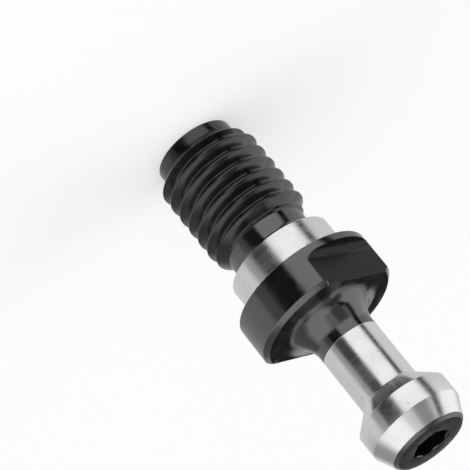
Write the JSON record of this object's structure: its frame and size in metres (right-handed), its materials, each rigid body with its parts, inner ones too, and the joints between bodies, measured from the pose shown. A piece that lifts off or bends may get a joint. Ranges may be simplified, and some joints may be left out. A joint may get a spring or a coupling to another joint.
{
  "type": "pull stud",
  "caption": "Turned stud for a taper tool holder: threaded end, ground pilot, flange with two wrench flats, slim shank and a coned gripping head with a hexagon socket.",
  "frame": {"origin": "centre of the flange's seating face, where the pilot meets it", "axes": "+Z along the stud's axis, from the thread to the gripping head; the two wrench flats face +Y and -Y"},
  "size_m": [0.0164, 0.0164, 0.0435],
  "materials": {
    "stud_steel": "black oxide on the thread, relief, flange, neck and head end; bright ground steel on the pilot, shank, grip cone, head and nose cone"
  },
  "bodies": {
    "root": {"pull_stud": "stud_steel"}
  },
  "joints": []
}
